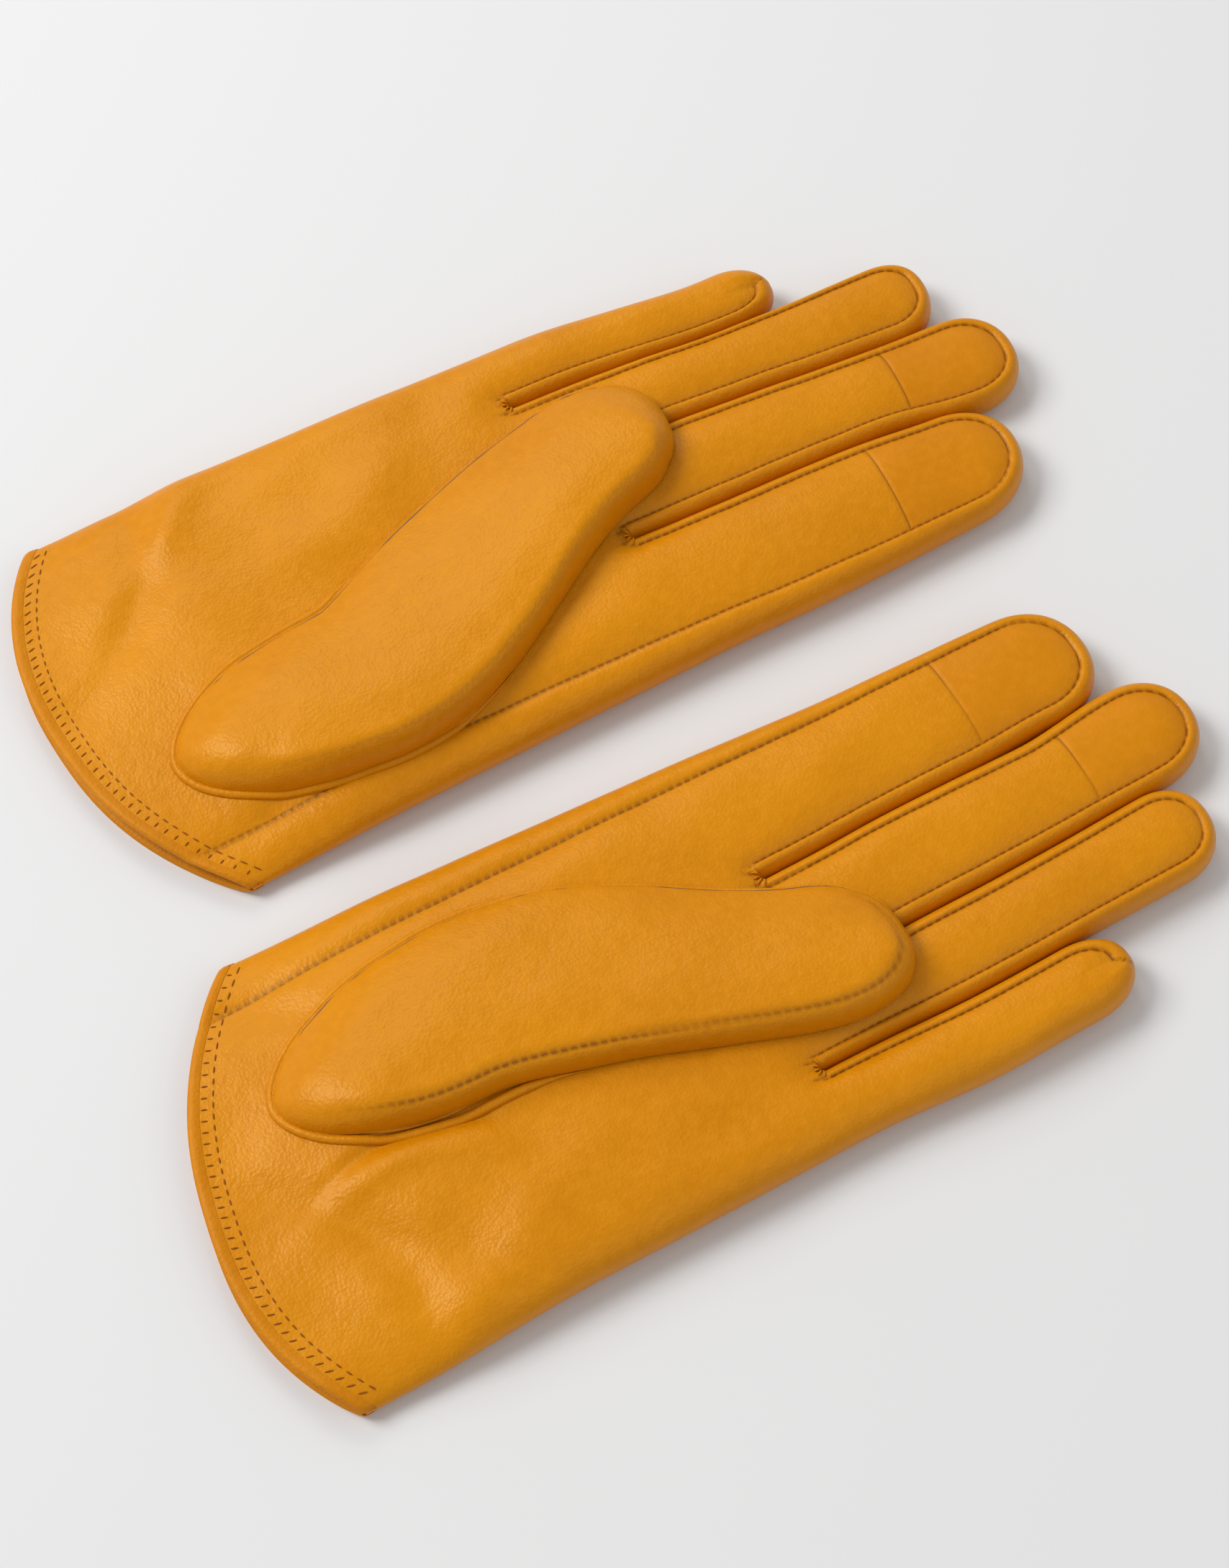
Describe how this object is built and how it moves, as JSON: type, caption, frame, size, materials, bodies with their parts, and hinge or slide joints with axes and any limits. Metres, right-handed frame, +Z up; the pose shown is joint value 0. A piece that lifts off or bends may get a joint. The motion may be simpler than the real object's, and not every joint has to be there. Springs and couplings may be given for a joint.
{
  "type": "pair of leather gloves",
  "caption": "Pair of lined leather dress gloves lying palm up, with the thumbs folded over the palms, fingers that bend and thumbs that lift.",
  "frame": {"origin": "middle of the pair's bounding box, on the surface that the gloves lie on", "axes": "+X from the cuffs to the fingertips, +Y from the left glove to the right glove, +Z up, out of the palms"},
  "size_m": [0.2646, 0.2258, 0.0279],
  "materials": {
    "glove_leather": "soft smooth nappa with a low sheen, mustard ochre",
    "touch_leather": "finer, slightly smoother nappa, a little more saturated",
    "hem_leather": "the same nappa, turned and stitched",
    "lining_fabric": "fine knitted lining, matt"
  },
  "bodies": {
    "right_hand": {"right_cuff_hem": "hem_leather", "right_hand_lining": "lining_fabric", "right_thumb_welt": "hem_leather", "right_trank": "glove_leather"},
    "right_index": {"right_index_back": "glove_leather", "right_index_far_fourchette": "glove_leather", "right_index_front": "glove_leather", "right_index_lining": "lining_fabric", "right_index_touch_tip": "touch_leather"},
    "right_middle": {"right_middle_back": "glove_leather", "right_middle_far_fourchette": "glove_leather", "right_middle_front": "glove_leather", "right_middle_lining": "lining_fabric", "right_middle_near_fourchette": "glove_leather", "right_middle_touch_tip": "touch_leather"},
    "right_ring": {"right_ring_back": "glove_leather", "right_ring_far_fourchette": "glove_leather", "right_ring_front": "glove_leather", "right_ring_lining": "lining_fabric", "right_ring_near_fourchette": "glove_leather"},
    "right_little": {"right_little_lining": "lining_fabric", "right_little_near_fourchette": "glove_leather", "right_little_wrap": "glove_leather"},
    "right_thumb": {"right_thumb_lining": "lining_fabric", "right_thumb_under": "glove_leather", "right_thumb_upper": "glove_leather"},
    "left_hand": {"left_cuff_hem": "hem_leather", "left_hand_lining": "lining_fabric", "left_thumb_welt": "hem_leather", "left_trank": "glove_leather"},
    "left_index": {"left_index_back": "glove_leather", "left_index_far_fourchette": "glove_leather", "left_index_front": "glove_leather", "left_index_lining": "lining_fabric", "left_index_touch_tip": "touch_leather"},
    "left_middle": {"left_middle_back": "glove_leather", "left_middle_far_fourchette": "glove_leather", "left_middle_front": "glove_leather", "left_middle_lining": "lining_fabric", "left_middle_near_fourchette": "glove_leather", "left_middle_touch_tip": "touch_leather"},
    "left_ring": {"left_ring_back": "glove_leather", "left_ring_far_fourchette": "glove_leather", "left_ring_front": "glove_leather", "left_ring_lining": "lining_fabric", "left_ring_near_fourchette": "glove_leather"},
    "left_little": {"left_little_lining": "lining_fabric", "left_little_near_fourchette": "glove_leather", "left_little_wrap": "glove_leather"},
    "left_thumb": {"left_thumb_lining": "lining_fabric", "left_thumb_under": "glove_leather", "left_thumb_upper": "glove_leather"}
  },
  "joints": [
    {"name": "right_index_bend", "type": "hinge", "parent": "right_hand", "child": "right_index", "pos_m": [0.02905, 0.0307, 0.0143], "axis": [-0.0401, -0.9992, 0], "range_deg": [0, 75]},
    {"name": "right_middle_bend", "type": "hinge", "parent": "right_hand", "child": "right_middle", "pos_m": [0.04778, 0.06096, 0.0143], "axis": [-0.0401, -0.9992, 0], "range_deg": [0, 75]},
    {"name": "right_ring_bend", "type": "hinge", "parent": "right_hand", "child": "right_ring", "pos_m": [0.0487, 0.08384, 0.0143], "axis": [-0.0401, -0.9992, 0], "range_deg": [0, 75]},
    {"name": "right_little_bend", "type": "hinge", "parent": "right_hand", "child": "right_little", "pos_m": [0.02048, 0.10378, 0.0143], "axis": [-0.0401, -0.9992, 0], "range_deg": [0, 75]},
    {"name": "right_thumb_lift", "type": "hinge", "parent": "right_hand", "child": "right_thumb", "pos_m": [-0.09768, 0.03996, 0.0144], "axis": [-0.0401, -0.9992, 0], "range_deg": [0, 70]},
    {"name": "left_index_bend", "type": "hinge", "parent": "left_hand", "child": "left_index", "pos_m": [0.01517, -0.02543, 0.0143], "axis": [0.0401, -0.9992, 0], "range_deg": [0, 75]},
    {"name": "left_middle_bend", "type": "hinge", "parent": "left_hand", "child": "left_middle", "pos_m": [0.03386, -0.05472, 0.0143], "axis": [0.0401, -0.9992, 0], "range_deg": [0, 75]},
    {"name": "left_ring_bend", "type": "hinge", "parent": "left_hand", "child": "left_ring", "pos_m": [0.03478, -0.0776, 0.0143], "axis": [0.0401, -0.9992, 0], "range_deg": [0, 75]},
    {"name": "left_little_bend", "type": "hinge", "parent": "left_hand", "child": "left_little", "pos_m": [0.00662, -0.09916, 0.0143], "axis": [0.0401, -0.9992, 0], "range_deg": [0, 75]},
    {"name": "left_thumb_lift", "type": "hinge", "parent": "left_hand", "child": "left_thumb", "pos_m": [-0.11107, -0.04695, 0.0144], "axis": [0.0401, -0.9992, 0], "range_deg": [0, 70]},
    {"name": "left_glove_lift", "type": "slide", "parent": "right_hand", "child": "left_hand", "axis": [0, 0, 1], "range_m": [0, 0.12]}
  ]
}
